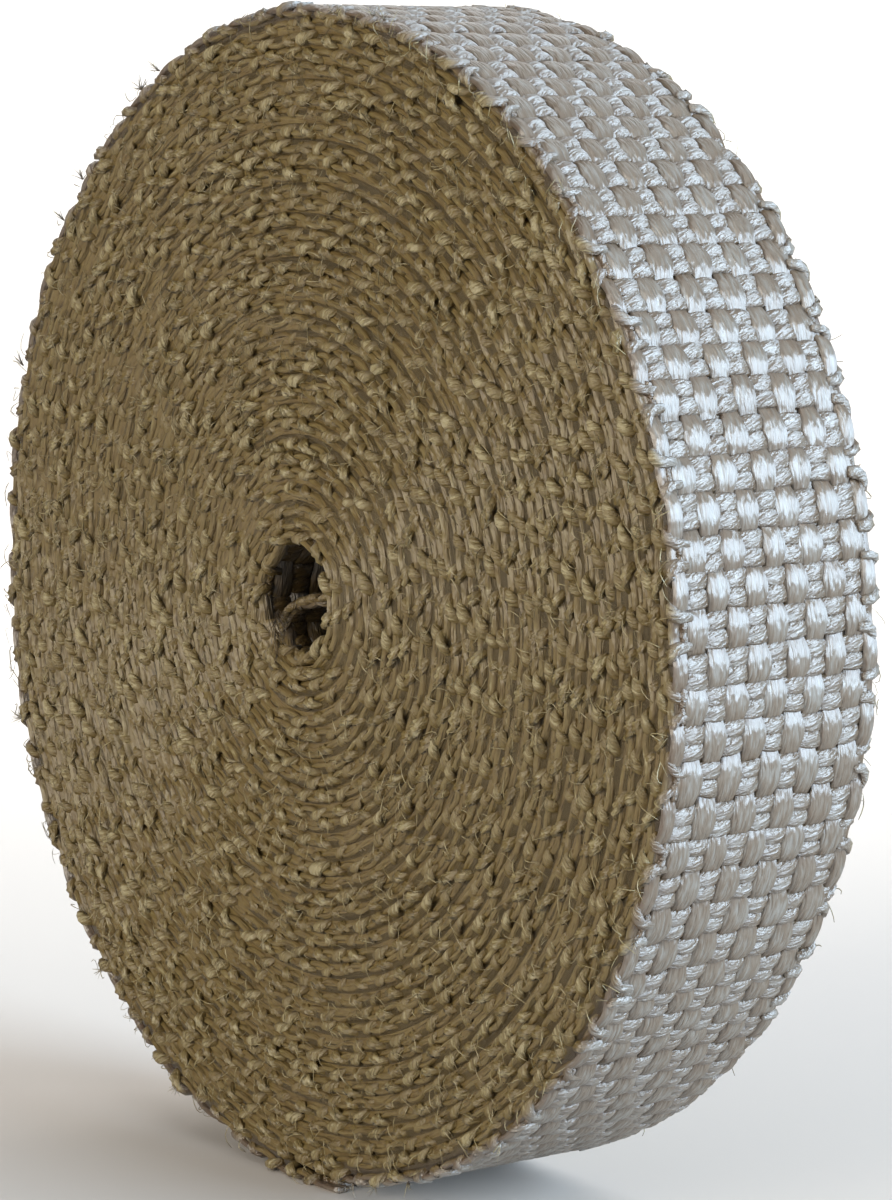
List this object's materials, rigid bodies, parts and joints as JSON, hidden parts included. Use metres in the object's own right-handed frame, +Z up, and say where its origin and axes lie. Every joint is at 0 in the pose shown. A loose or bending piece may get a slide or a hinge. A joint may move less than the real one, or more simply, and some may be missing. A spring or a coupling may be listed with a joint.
{
  "type": "exhaust heat wrap",
  "caption": "Roll of woven glass-fibre heat wrap tape, standing on its rim, with the tape's inner end across the small bore and its turns showing on both ends.",
  "frame": {"origin": "on the floor plane under the middle of the roll, where the roll stands on its rim", "axes": "+Z up, Y along the roll's axis, -Y out of the end that the picture shows"},
  "size_m": [0.1212, 0.026, 0.122],
  "materials": {
    "glass_tape": "woven glass fibre, silvery cream with brown crevices on the rim and golden brown on the ends"
  },
  "bodies": {
    "root": {"heat_wrap_roll": "glass_tape"}
  },
  "joints": []
}
